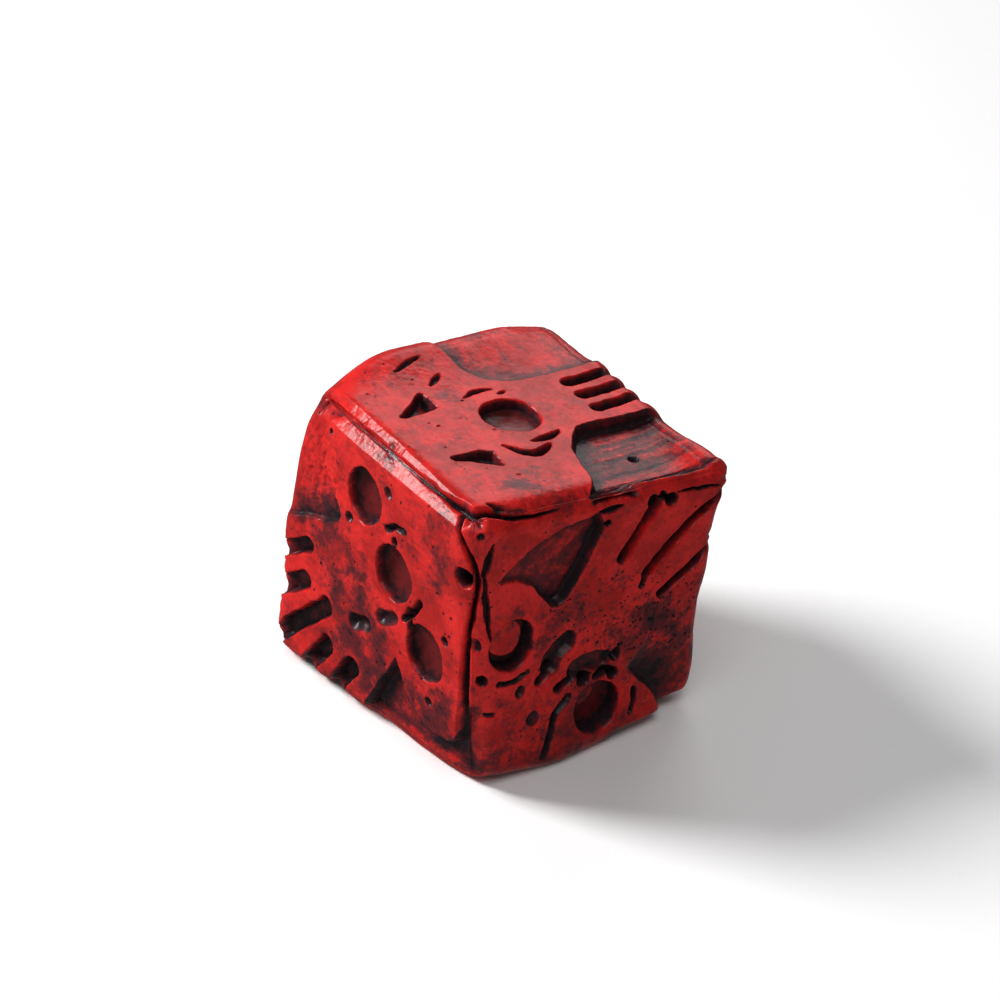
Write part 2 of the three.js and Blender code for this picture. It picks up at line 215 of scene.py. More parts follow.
class Relief:
    """One face's carving: a height and an amount of dark wash at each point of a grid."""

    def __init__(self, number):
        self.number = number
        across, up = FACE_AXES[number]
        self.axes = np.array([across, up, np.cross(across, up)], float)
        self.u, self.v = np.meshgrid(SIDE, SIDE)
        self.place, self.normal = rounded_cube(self.u, self.v)
        self.skin = self.place @ self.axes
        self.x = self.u + self.wobble(11)
        self.y = self.v + self.wobble(21)
        self.height = np.zeros_like(self.u)
        self.wash = np.full_like(self.u, THIN_WASH)
        self.ragged = 1 + 0.45 * layered_noise(self.skin, 1.6, 31)   # a stain's reach, place by place
        self.sockets = []

    def wobble(self, seed):
        """How far the knife strayed to one side, in long bends and short nicks."""
        return (OUTLINE_WOBBLE * layered_noise(self.skin, 3.0, seed)
                + OUTLINE_NICKS * layered_noise(self.skin, 0.8, seed + 5, layers=2))

    def path_distance(self, path):
        """The distance from every grid point to an open path, and how far along it that is."""
        nearest = np.full_like(self.u, FAR)
        along = np.zeros_like(self.u)
        lengths = [math.dist(start, end) for start, end in zip(path, path[1:])]
        covered = 0.0
        for (x0, y0), (x1, y1), length in zip(path, path[1:], lengths):
            t = ((self.x - x0) * (x1 - x0) + (self.y - y0) * (y1 - y0)) / length**2
            t = np.clip(t, 0, 1)
            distance = np.hypot(self.x - x0 - t * (x1 - x0), self.y - y0 - t * (y1 - y0))
            closer = distance < nearest
            nearest = np.where(closer, distance, nearest)
            along = np.where(closer, (covered + t * length) / sum(lengths), along)
            covered += length
        return nearest, along

    def depth_inside(self, outline):
        """How far every grid point lies inside a closed outline: negative outside it."""
        closed = [*outline, outline[0]]
        nearest, _ = self.path_distance(closed)
        inside = np.zeros(self.u.shape, bool)
        for (x0, y0), (x1, y1) in zip(closed, closed[1:]):
            if y0 == y1:
                continue
            crossing = x0 + (self.y - y0) * (x1 - x0) / (y1 - y0)
            inside ^= ((y0 > self.y) != (y1 > self.y)) & (self.x < crossing)
        return np.where(inside, nearest, -nearest)

    def sink(self, level, wash):
        """Cuts the face down to a level, and keeps the darker wash."""
        self.height = np.minimum(self.height, level)
        self.wash = np.maximum(self.wash, wash)

    def recess(self, outline, depth, wall=0.4, wash=0.4, rim_wash=0.9, rim=0.5, corner=0):
        """A sunk background, with its wash thickest along the foot of its wall. The outline may be
        grown by a corner radius. Gives how far every grid point lies inside."""
        inside = self.depth_inside(outline) + corner
        self.sink(-depth * ease(inside / wall), np.where(
            inside > 0, wash + (rim_wash - wash) * np.exp(-np.maximum(inside - wall, 0) / rim), 0))
        return inside

    def slot(self, path, width, depth, wash=0.4, wall=0.42):
        """A trench of one width along a path."""
        distance, _ = self.path_distance(path)
        inside = width / 2 - distance
        self.sink(-depth * ease(inside / wall), wash * ease(3 * inside / wall))

    def mark(self, path, width, depth, wash=0.85):
        """A knife mark: widest in the middle, narrow at both ends."""
        distance, along = self.path_distance(path)
        half = 0.7 * width * (0.35 + 0.65 * np.sin(np.pi * np.clip(along, 0, 1)))
        cut = ease(1.6 * (half - distance) / half)
        self.sink(-depth * cut, wash * ease(4 * cut))

    def pit(self, x, y, radius, depth, wash=1.0):
        """A small round hole that holds some wash."""
        inside = 1 - np.hypot(self.x - x, self.y - y) / radius
        self.sink(-depth * ease(1.6 * inside), wash * ease(5 * inside))

    def socket(self, x, y, radius=SOCKET_RADIUS, depth=WASH_DEPTH):
        """A number socket with a faint raised lip. Its carved floor lies under the dried wash, and
        `depth` is how far down that wash starts."""
        self.sockets.append((x, y, radius, depth))
        inside = radius + 0.12 - np.hypot(self.x - x, self.y - y)
        self.height += 0.1 * np.exp(-((inside + 0.32) / 0.24) ** 2)
        self.sink(-SOCKET_DEPTH * ease(inside / 0.42), 0.98 * ease(inside / 0.14))

    def island(self, x, y, radius, level):
        """A red mound left standing in a hollow."""
        beyond = np.hypot(self.x - x, self.y - y) - radius
        top = level - 2 * ease(beyond / 0.8)
        self.wash = np.where(top > self.height, 0.15 + 0.8 * ease(beyond / 0.5), self.wash)
        self.height = np.maximum(self.height, top)

    def stains_and_painted_light(self, *patches):
        """Soft patches of wash left on the surface, or of less wash: x, y, radius, amount. A few darken a
        face partly as painted shade, and one lightens a corner partly as a painted highlight.
        """
        for x, y, radius, amount in patches:
            reach = radius * self.ragged
            self.wash += amount * np.exp(-(np.hypot(self.x - x, self.y - y) / reach) ** 2)

    def swell(self, x, y, radius, amount):
        """Raises or lowers the surface softly around a point."""
        self.height += amount * np.exp(-(np.hypot(self.u - x, self.v - y) / radius) ** 2)

    def brush(self, inside, angle, height, wash):
        """Brush or scrape lines in a recess, running at an angle from the across axis."""
        turn = math.radians(angle)
        along = self.x * math.cos(turn) + self.y * math.sin(turn)
        beside = self.y * math.cos(turn) - self.x * math.sin(turn)
        lines = layered_noise(np.stack([along / 14, beside], -1), 0.5, 41 + self.number)
        where = ease(inside / 0.6)
        self.height += height * lines * where
        self.wash -= wash * lines * where

    def bubbles(self, count, region, radius, depth, seed):
        """Air bubbles burst at the surface, scattered over a region: x, y, its two radii."""
        draw = np.random.default_rng(seed)
        x, y, reach_x, reach_y = region
        for _ in range(count):
            angle = draw.uniform(0, 2 * math.pi)
            far = math.sqrt(draw.uniform(0, 1))
            size = radius * draw.uniform(0.5, 1.3)
            self.pit(x + reach_x * far * math.cos(angle), y + reach_y * far * math.sin(angle),
                     size, depth * size / radius, 0.9)

    def roughen(self, x, y, radius, amount):
        """Coarser grain around a point."""
        near = np.exp(-(np.hypot(self.u - x, self.v - y) / radius) ** 2)
        self.height += amount * near * layered_noise(self.skin, 0.42, 91, layers=2)

    def edges(self):
        """For each edge, the face beyond it and a way to turn a grid so that its last column is
        that edge, read along the die's own axis."""
        for axis, side in itertools.product((0, 1), (1, -1)):
            beyond = side * self.axes[axis]
            neighbour = next(n for n, (a, b) in FACE_AXES.items() if np.dot(np.cross(a, b), beyond) > 0.5)
            order = int(self.axes[1 - axis].sum())
            yield neighbour, lambda grid, axis=axis, side=side, order=order: (
                grid if axis == 0 else grid.T)[::order, ::side]

    def bevel(self, neighbour, first_cut, last_cut):
        """Flattens the rounding towards one neighbour into a slope of 45 degrees, cut less and
        less deep along the edge."""
        turn = np.clip((CHART - SIDE) / EDGE_RADIUS, 0, math.pi / 4)[None, :]
        cut = np.linspace(first_cut, last_cut, len(SIDE))[:, None]
        height = dict(self.edges())[neighbour](self.height)
        height[:] = np.minimum(height, (EDGE_RADIUS - cut) / np.cos(turn) - EDGE_RADIUS)

    def crevices(self):
        """The crevices along the four edges, the same from both of the faces that meet there."""
        from_edge = (CHART - SIDE)[None, :]
        for neighbour, turned in self.edges():
            pair = (min(self.number, neighbour), max(self.number, neighbour))
            if pair not in CREVICES:
                continue
            stations = np.array(CREVICES[pair]).T
            stray, half, depth = (np.interp(SIDE, stations[0], row)[:, None] for row in stations[1:])
            # Each edge reads its own line of the noise, so that both of its faces agree.
            line = np.stack([SIDE, np.full_like(SIDE, 10.0 * pair[0] + pair[1])], -1)
            stray = stray + 0.08 * layered_noise(line, 1.8, 52)[:, None]
            half = half * (1 + 0.15 * noise(line, 1.8, 53)[:, None])
            distance = np.abs(from_edge * (1 if self.number == pair[1] else -1) - stray)
            cut = 1 - ease(distance / half)
            height, wash = turned(self.height), turned(self.wash)
            height[:] = height * (1 - cut) - depth * cut
            wash[:] = np.maximum(wash, cut * ease(depth / 0.5))

    def weather(self):
        """The grain and the slight unevenness of a hand-made cast, and wash in its hollows."""
        for start, end, reach, amount in BULGES:
            start, run = np.array(start), np.subtract(end, start)
            t = np.clip((self.skin - start) @ run / max(run @ run, 1e-9), 0, 1)
            distance = np.linalg.norm(self.skin - start - t[..., None] * run, axis=-1)
            self.height += amount * np.exp(-(distance / reach) ** 2)
        self.height += 0.10 * noise(self.skin, 7.0, 61)
        self.height += 0.03 * layered_noise(self.skin, 1.6, 62)
        patchy = ease(0.5 + 0.9 * noise(self.skin, 4.5, 63))
        self.height += (0.008 + 0.013 * patchy) * layered_noise(self.skin, 0.36, 64, layers=2)
        fine = np.clip(blur(self.height, 0.3) - self.height, -0.08, 0.25)
        broad = np.clip(blur(self.height, 1.1) - self.height, -0.2, 0.5)
        mottle = 0.20 * layered_noise(self.skin, 3.0, 65) + 0.16 * layered_noise(self.skin, 0.8, 66)
        self.wash = np.clip(self.wash + mottle + 1.2 * fine + 0.4 * broad, 0, 1)

    def surface(self):
        """The finished grid of points, in the die's own frame."""
        points = self.place + self.height[..., None] * self.normal
        points[..., :2] *= 1 - MITRE_GAP
        return points


def join(reliefs):
    """Eases the height and the wash of neighbouring faces together along every edge."""
    fade = ease(1 - (CHART - SIDE) / JOIN_REACH)[None, :]
    for _ in range(4):
        for relief in reliefs.values():
            for neighbour, turned in relief.edges():
                if neighbour < relief.number:
                    continue
                other = reliefs[neighbour]
                other_turned = dict(other.edges())[relief.number]
                for ours, theirs in ((relief.height, other.height), (relief.wash, other.wash)):
                    near, far = turned(ours), other_turned(theirs)
                    middle = np.pad((near[:, -1] + far[:, -1]) / 2, 2, "edge")
                    middle = np.convolve(middle, np.full(5, 0.2), "valid")[:, None]
                    for side in (near, far):
                        change = (middle - side[:, -1:]) * fade
                        side += np.clip(change, np.minimum(middle - side, 0), np.maximum(middle - side, 0))


# ---- The six skulls ----

def carve_one(r):
    """A skull that looks towards the three, its nose the only socket."""
    r.wash -= 0.06
    r.recess(
        curve([(-FAR, -2.8), (-11.8, -1.1), (-10.4, -0.55), (-8.4, -0.4), (-6.8, 0.1), (-5.6, 1),
               (-4.9, 2.3), (-4.5, 4), (-4.4, 7.4), (-4.4, FAR)]) + [(-FAR, FAR)],
        depth=0.6, wall=0.5, wash=0.06, rim_wash=1.0, rim=0.85)
    cheek = r.recess(
        curve([(3.6, FAR), (3.4, 8.4), (3.3, 4.6), (4, 3.4), (5, 2.4), (6.6, 1.4), (8.6, 0.75), (10.6, 0.3),
               (12, -0.5), (FAR, -3.2)]) + [(FAR, 3.4), (12.2, 3.8), (12.3, 11), (11.2, FAR)],
        depth=1.15, wall=0.4, wash=0.42, rim_wash=0.95, rim=0.6)
    r.brush(cheek, angle=94, height=0.025, wash=0.3)
    r.recess([(-FAR, -12.25), (FAR, -12.25), (FAR, -FAR), (-FAR, -FAR)],
             depth=0.65, wall=0.4, wash=0, rim_wash=0)
    r.pit(8, 6.7, 0.7, 1.7)
    for foot, lean in ((-2.65, -0.35), (-0.55, -0.25), (1.58, -0.3)):
        r.slot([(foot, 7.5), (foot + lean, FAR)], width=1.4, depth=1.5, wash=0.95, wall=0.6)
    for x in (-4.2, -1.95, 0.2, 2.3):
        r.swell(x, 12.3, 0.8, 0.6)
    r.recess([(-5.6, -5.8), (-3.6, -5.8), (-3.1, -9.1)],
             depth=1.0, wall=0.25, wash=0.05, rim_wash=0.8, rim=0.2, corner=0.35)
    r.recess([(4.2, -8.9), (4.15, -6.4), (4.6, -5.6), (6.4, -5.8), (4.5, -8.8)],
             depth=1.0, wall=0.25, wash=0.05, rim_wash=0.8, rim=0.2, corner=0.32)
    r.socket(-0.02, -0.4, radius=2.6, depth=1.3)
    r.mark(curve([(3.5, 2.2), (4.1, 0.6), (4.2, -1)]), 0.75, 0.6)
    r.mark(curve([(5.2, 0.2), (5.9, -1.6), (5.3, -2.9), (4, -3.9)]), 0.85, 0.8)
    r.mark(curve([(-4.3, 0.4), (-4.4, -1), (-3.9, -2.5)]), 0.45, 0.4, 0.8)
    r.mark([(-3.6, 1.4), (-3.35, 0.5)], 0.4, 0.3, 0.7)
    r.mark([(-10.3, -3.1), (-9.4, -6)], 0.45, 0.35)
    r.mark([(-7.6, -2.6), (-6.6, -4.2)], 0.5, 0.4)
    r.mark(curve([(12.6, -7.5), (12.5, -9), (11.4, -10.3)]), 0.7, 0.6)
    r.stains_and_painted_light((9.6, -6.2, 1.4, 0.4), (8.5, -4.5, 1.2, 0.14), (-4.4, -4, 1.6, 0.2), (1.8, -7.2, 1.8, 0.22),
             (-8.4, -7.6, 2.4, 0.1), (-7.9, 10.6, 1.4, 0.15), (11.4, 10.6, 3, -0.35), (0.6, -5.4, 1.6, 0.2))
    r.bubbles(24, (-0.4, -6.6, 10, 5), 0.11, 0.12, 71)
    r.bevel(3, 0.32, 0.05)


def carve_two(r):
    """A skull that lies aslant, its cranium in the low near corner and two socket eyes."""
    crown = curve([(3, -5.6), (4, -6.5), (4.9, -7.4), (6.1, -8.6), (7, -9.9), (7.5, -11.4), (7.7, -FAR)])
    beyond = r.depth_inside(crown + [(FAR, -FAR), (FAR, 4), (1, 4)])
    from_crown, along = r.path_distance(crown)
    fade = (1 - ease((from_crown - 0.8) / 3.8)) * ease(4 * along)
    r.sink(-0.95 * fade * ease(beyond / 0.5),
           np.where(beyond > 0, THIN_WASH + fade * (0.45 + 0.5 * np.exp(-from_crown / 0.9)), 0))
    hollow = curve([(0.3, 9.8), (-0.3, 11.1), (-1.8, 10.9), (-4.6, 10.4), (-7.6, 9.2), (-10.4, 6.8),
                    (-8.6, 6.4), (-7.2, 5.6), (-6, 4.2), (-5, 3.2), (-4.2, 2.9)]) + [(-3.5, 3.3), (-1, 7.6)]
    inside = r.depth_inside(hollow)
    from_wall, _ = r.path_distance([(-4, 2.8), (0.6, 11)])
    slope = np.clip(1.15 - 0.115 * from_wall, 0.12, 1)
    wash = 0.42 + 0.6 * np.exp(-(from_wall / 0.32) ** 2) + 0.2 * np.exp(-inside / 0.4)
    r.sink(-0.95 * slope * ease(inside / 0.3), np.where(inside > 0, wash, 0))
    r.brush(inside, angle=25, height=0.015, wash=0.1)
    r.recess([(-1.4, FAR), (3.4, FAR), (3.6, 11.8), (-0.8, 11.7)],
             depth=1.1, wall=1.0, wash=0.08, rim_wash=0.1)
    r.mark([(-0.4, 11.2), (2, 11.35)], 0.5, 0.5, 0.9)
    r.slot([(2.3, 6.2), (5.5, 10.9)], width=1.4, depth=1.4, wash=0.5)
    r.slot([(5.1, 3.8), (8.8, 7.5), (FAR, 13.2)], width=1.4, depth=1.5, wash=0.52)
    r.slot([(5.1, 3.8), (4.7, 2.6)], width=0.9, depth=0.8, wash=0.8)
    r.slot([(7.1, 1.1), (FAR, 6.6)], width=1.35, depth=1.4, wash=0.6)
    r.pit(5.2, 11, 0.8, 1.8)
    r.pit(6.2, 11.4, 0.5, 1)
    r.pit(7, 10.9, 0.75, 1.5)
    r.pit(0.5, 10, 0.4, 0.8)
    r.mark([(7.6, 11.45), (11.6, 11.5)], 0.3, 0.4)
    r.socket(-9, 0.5, depth=1.6)
    r.island(-9.7, 1.4, 1.6, -0.2)
    r.socket(0.4, -8.7, radius=2.5, depth=1.4)
    r.island(-0.7, -7.2, 1.1, -0.6)
    r.slot(curve([(-10.4, -2.8), (-8.9, -3), (-7.2, -2.5)]), width=0.7, depth=0.5, wash=0.9)
    r.slot(curve([(-3.2, -0.9), (-4.4, -1.8), (-4.8, -2.7)]), width=2.3, depth=0.8, wash=0.6, wall=0.6)
    r.slot(curve([(-4.5, -0.9), (-5.3, -2), (-5.4, -3)]), width=0.8, depth=1.5, wash=1.0)
    r.slot([(-4.6, -2.9), (-6, -3.8)], width=1.2, depth=1.4, wash=0.9, wall=0.4)
    r.slot(curve([(-1.9, -4), (-0.4, -3.7), (0.9, -4.1)]), width=2.3, depth=0.6, wash=0.45, wall=0.4)
    r.slot([(-3.9, -5.3), (-2.4, -4.7)], width=1.2, depth=1.1, wash=0.7, wall=0.4)
    r.pit(-1, -5.4, 0.85, 1.7)
    r.slot([(0.4, -5.5), (1.7, -5.3)], width=1, depth=1, wash=0.9, wall=0.4)
    r.pit(2.2, -5.8, 0.7, 1.2)
    r.pit(2.4, -3.95, 0.7, 0.7)
    r.pit(2.8, -3.2, 0.3, 0.4)
    r.pit(-8, -4.2, 0.7, 0.5, 0.5)
    r.pit(-12.6, 1.3, 0.65, 1.2)
    r.pit(-12, -2.1, 0.6, 0.8)
    r.slot([(-11.7, -5.4), (-10.9, -5.5)], width=0.6, depth=0.4, wash=0.7)
    r.pit(-12.2, 11.2, 0.4, 0.35, 0.5)
    r.pit(-6.7, -7.4, 0.8, 0.35, 0.7)
    r.slot(curve([(-2.7, -6.6), (-4.3, -7.9), (-4.9, -9.4), (-5.6, -11.2)]), width=0.95, depth=0.7, wash=0.9)
    r.slot(curve([(4.6, -8.4), (4.6, -9.5), (4.2, -10.6)]), width=0.85, depth=0.6, wash=0.9)
    r.mark([(-11, 10.4), (-11.9, 7.6)], 0.65, 0.6)
    r.mark(curve([(-11.8, 7.8), (-11.6, 5), (-11.2, 1.6)]), 0.5, 0.6)
    r.wash += 0.12 * layered_noise(r.skin, 1.2, 93)
    r.bubbles(200, (3, 0.4, 9, 4.6), 0.1, 0.12, 72)
    r.bubbles(60, (8, -3, 4, 5), 0.14, 0.14, 78)
    r.bubbles(80, (-2.6, -2.4, 9, 8), 0.1, 0.12, 73)
    r.stains_and_painted_light((5.9, -3.4, 2.2, 0.2), (10.4, -6.4, 2, 0.3))
    r.roughen(4, 0, 8, 0.03)
    r.stains_and_painted_light((2, 4.8, 1.4, 0.3), (4, -0.8, 2.2, 0.12), (-1.2, -5.8, 2.6, 0.3), (-3, -9, 7, 0.22),
             (-4, 1.5, 3, 0.2), (5.6, -1.6, 1.5, 0.4), (9.3, -4, 3.4, 0.25), (10.8, 0.4, 3, 0.15),
             (-12, -12, 1.6, 0.5), (-3, -11, 3, 0.2))


def carve_three(r):
    """A skull that lies aslant, its teeth at the low far corner, with three sockets."""
    r.slot([(-9.2, -1.3), (-FAR, -4.5)], width=1.7, depth=1.0, wash=0.55, wall=0.35)
    r.slot([(-9.1, -4.6), (-FAR, -8.4)], width=2.05, depth=1.1, wash=0.55, wall=0.35)
    r.slot([(-5.9, -5.3), (-FAR, -14.6)], width=1.9, depth=1.2, wash=0.55, wall=0.35)
    r.slot([(-5.4, -8.7), (-9.7, -FAR)], width=1.9, depth=1.2, wash=0.55, wall=0.35)
    r.slot([(-2.1, -9), (-6.1, -FAR)], width=1.85, depth=1.2, wash=0.55, wall=0.35)
    # The gaps between the teeth run out to two edges, and grow shallower 10.6 mm from the centre.
    near_edge = ease((np.maximum(-r.u, -r.v) - 10.6) / 1.8)
    r.height = np.maximum(r.height, -TOOTH_GAP_DEPTH + TOOTH_GAP_RISE * near_edge)
    far_corner = r.recess(
        curve([(-7, FAR), (-7.6, 11.8), (-8.6, 10.7), (-9.1, 8.7), (-8.6, 7.1), (-6.8, 5.8), (-5.7, 4.6),
               (-5.2, 3.7), (-5.8, 2.7), (-7, 2.1), (-8.4, 1.6), (-10.4, 0.8), (-FAR, -0.8)]) + [(-FAR, FAR)],
        depth=0.55, wall=0.4, wash=0.02, rim_wash=0.3, rim=0.4)
    r.bevel(1, 0.75, 0.42)
    r.height -= 0.4 * ease(far_corner / 0.4) * ease((r.v - 9.5) / 1.5)
    r.stains_and_painted_light((-7.4, 3.8, 1.4, 0.35), (-9.4, 2.3, 1.5, 0.35))
    jaw_side = [(3.2, -5), (2.2, -7), (0.8, -9.4), (-0.3, -11.6), (-1.6, -FAR)]
    r.recess(
        curve([(3.2, -5), (4, -6.1), (4.7, -7.3), (5.9, -8.4), (7.6, -9.2), (9.6, -9.2), (10.7, -8.4),
               (11.4, -6.8), (12.2, -4.8), (FAR, -4)]) + [(FAR, -FAR)] + jaw_side[:0:-1],
        depth=1.15, wall=0.45, wash=0.18, rim_wash=0.9, rim=0.6)
    for x, y in ((-11.5, -0.6), (-11.5, -4.1), (-11.3, -8), (-9.6, -11.4), (-5.6, -11.6)):
        r.swell(x, y, 1.0, 0.4)
    for x, y in ((-2.2, 7.1), (2.4, 2.4), (6.9, -2.65)):
        r.socket(x, y)
    r.slot(curve([(1.1, 5.8), (2.2, 6.6), (3.6, 7)]), width=0.85, depth=0.6, wash=0.9)
    r.slot([(1.2, -2.3), (2.6, -1.6)], width=1.7, depth=0.5, wash=0.6, wall=0.8)
    r.slot([(-2.3, -4.7), (-0.8, -4.1)], width=1.8, depth=0.7, wash=0.7, wall=0.9)
    r.slot(curve([(4.1, -0.9), (5.2, 0.2), (6, 1.6)]), width=0.9, depth=0.8, wash=0.95)
    r.slot([(4.7, -0.1), (5, -1.6)], width=0.9, depth=1.2, wash=1.0)
    r.pit(2.25, 5.25, 0.5, 0.8)
    r.pit(4.85, 0, 0.6, 0.8)
    r.pit(9.4, 0.05, 0.5, 0.5)
    r.pit(-4.1, 4.3, 0.6, 0.35, 0.7)
    r.pit(1.1, 9.1, 0.6, 0.3, 0.6)
    r.pit(-8.1, 10.1, 0.35, 0.4)
    r.pit(7.6, -6.8, 0.45, 0.3, 0.8)
    r.pit(11.75, 7.1, 1.05, 2.2)
    r.bubbles(60, (0.6, 0.6, 11, 10), 0.12, 0.12, 74)
    # The broad patches at (0, -12) and (8, -9) darken the bottom of the face: partly wash, partly painted
    # shade.
    # The patch of less wash at (-10.6, 11.8) lightens the top corner: partly wiped-clean resin, partly a
    # painted highlight on the corner's rounding.
    r.stains_and_painted_light((-2, -2.4, 1.6, 0.25), (7.2, 10, 1.8, 0.22), (1.6, -4.8, 1.6, 0.35), (8.6, -7.4, 2.6, 0.3),
             (-2.4, -7.4, 3.4, 0.3), (9.4, -5.4, 2.4, 0.25), (-6.4, 0, 4, 0.2), (-3, -3, 2.4, 0.25),
             (0, -12, 6, 0.35), (8, -9, 2.8, 0.5), (12, -12.4, 2, 0.6), (-10.6, 11.8, 2.6, -0.5),
             (4.5, -7, 2.6, 0.25), (8.6, 7.4, 1.2, 0.3), (7.9, 4.4, 1.1, 0.25), (-10.6, 1.6, 1.6, 0.3),
             (-7.4, 2.4, 1.2, 0.35))
    r.roughen(-8.5, 6.4, 3.6, 0.13)


def carve_four(r):
    """An upright skull with four sockets: two eyes, and two beside the jaw."""
    r.recess(curve([(-4.8, 10.6), (-3.4, 8.8), (0.2, 8), (3.8, 8.8), (5.2, 10.6)]) + [(0.2, 9.8)],
             depth=1.1, wall=0.4, wash=0.4)
    for side in (-1, 1):
        r.recess(
            curve([(side * 8, -11), (side * 8.2, -8), (side * 9, -4.4), (side * 10.4, -1.8)])
            + [(side * 11.4, -3.2), (side * 11.4, -11)],
            depth=1.0, wall=0.4, wash=0.4, rim_wash=0.9)
        r.mark(curve([(side * 8.4, 1.4), (side * 9.2, 4.2), (side * 8.6, 7)]), 0.8, 0.6)
        r.mark([(side * 2.2, 7.6), (side * 4.6, 8.4)], 0.6, 0.4)
    for x in (-5.2, -2.6, 0.0, 2.6, 5.2):
        r.slot([(x, -8.8), (1.08 * x, -FAR)], width=1.35, depth=1.35)
    r.recess([(-1.3, -1.5), (1.3, -1.5), (0, 1.6)], depth=1.3, wall=0.5, wash=0.7)
    for x, y in ((-4.6, 4.0), (4.6, 4.0), (-4.6, -4.2), (4.6, -4.2)):
        r.socket(x, y)
    for x in (-1.4, 0.75, 2.95):
        r.slot([(x, FAR), (x, 11)], width=1.4, depth=1.6, wash=0.95)
    for x in (4.2, 1.95, -0.2, -2.3):
        r.swell(x, 12.4, 0.8, 0.6)
    for y in (4.9, 11):
        r.slot([(-FAR, y), (-11.2, y + 0.2)], width=1.2, depth=1.1)
    r.bubbles(60, (0, 0, 11, 11), 0.13, 0.13, 75)
    r.stains_and_painted_light((0, 6.5, 3.0, 0.25), (-8, 0, 3.0, 0.25))


def carve_five(r):
    """An upright skull with five sockets: the middle one is its nose."""
    for side in (-1, 1):
        r.recess(
            curve([(side * 8, -11), (side * 8.2, -8), (side * 9, -4.4), (side * 10.4, -1.8)])
            + [(side * 11.4, -3.2), (side * 11.4, -11)],
            depth=1.0, wall=0.4, wash=0.4, rim_wash=0.9)
        r.mark(curve([(side * 3.6, 1.7), (side * 4.1, 0), (side * 3.6, -1.7)]), 0.7, 0.6)
        r.mark(curve([(side * 9.3, 3.2), (side * 10, 5.6), (side * 9.3, 8.2)]), 0.8, 0.6)
    for x in (-4.4, -1.5, 1.5, 4.4):
        r.slot([(x, -9.3), (1.05 * x, -FAR)], width=1.35, depth=1.35)
    for x, y in ((-5.2, 5.2), (5.2, 5.2), (0, 0), (-5.2, -5.2), (5.2, -5.2)):
        r.socket(x, y)
    for y, width in ((-3.2, 1.7), (-6.9, 2.0), (-12, 1.9)):
        r.slot([(FAR, y), (11.2, y - 0.5)], width=width, depth=0.6, wash=0.6)
    r.bubbles(60, (0, 0, 11, 11), 0.13, 0.13, 76)
    r.stains_and_painted_light((0, -8, 3.0, 0.25), (7, 0, 3.0, 0.2))


def carve_six(r):
    """A skull with two rows of three sockets and a solid strip between them to rest on."""
    for side in (-1, 1):
        r.recess(
            curve([(side * 7.7, -FAR), (side * 8.3, -9.6), (side * 9.3, -6), (side * 11, -2.9),
                   (side * FAR, -1.6)]) + [(side * FAR, -FAR)],
            depth=1.0, wall=0.4, wash=0.4, rim_wash=1.0)
        r.mark(curve([(side * 9.0, 3.2), (side * 9.8, 5.9), (side * 9.2, 8.6)]), 0.8, 0.6)
        for y in (6.2, 0.0, -6.2):
            r.socket(side * 5.0, y)
    for x in (-4.4, -1.5, 1.5, 4.4):
        r.slot([(x, -10.3), (1.05 * x, -FAR)], width=1.25, depth=1.3)
    for x in (-8.2, -4.6):
        r.slot([(x, FAR), (x - 0.4, 11.2)], width=1.9, depth=0.6, wash=0.6)
    r.bubbles(50, (0, 0, 11, 11), 0.13, 0.13, 77)


CARVERS = {1: carve_one, 2: carve_two, 3: carve_three, 4: carve_four, 5: carve_five, 6: carve_six}


# ---- Meshes ----

def make_object(name, points, faces, smooth_count, attributes):
    """A mesh object, in metres, whose first faces are smooth and the rest are flat."""
    mesh = bpy.data.meshes.new(name)
    mesh.from_pydata((points * MM).tolist(), [], faces)
    mesh.polygons.foreach_set("use_smooth", [index < smooth_count for index in range(len(faces))])
    for key, values in attributes.items():
        mesh.attributes.new(key, "FLOAT", "POINT").data.foreach_set("value", values.astype(np.float32))
    mesh.update()
    thing = bpy.data.objects.new(name, mesh)
    bpy.context.collection.objects.link(thing)
    return thing


def make_slab(relief):
    """One relief face as a closed slab: its skin, its mitred sides and its hidden back."""
    count = GRID + 1
    index = np.arange(count * count).reshape(count, count)
    skin = relief.surface().reshape(-1, 3)
    border = np.concatenate([index[0, :-1], index[:-1, -1], index[-1, :0:-1], index[:0:-1, 0]])
    back = skin[border] * (SLAB_BACK / skin[border, 2:3])
    points = np.vstack([skin, back])
    quads = np.stack([index[:-1, :-1], index[:-1, 1:], index[1:, 1:], index[1:, :-1]], -1).reshape(-1, 4)
    foot = len(skin) + np.arange(len(border))
    sides = np.stack([border, foot, np.roll(foot, -1), np.roll(border, -1)], -1)
    faces = quads.tolist() + sides.tolist() + [foot[::-1].tolist()]
    wash = np.concatenate([relief.wash.ravel(), np.ones(len(border))])
    points = cast_by_hand(points @ relief.axes)
    return make_object(f"skull_face_{relief.number}", points, faces, len(quads), {"wash": wash})


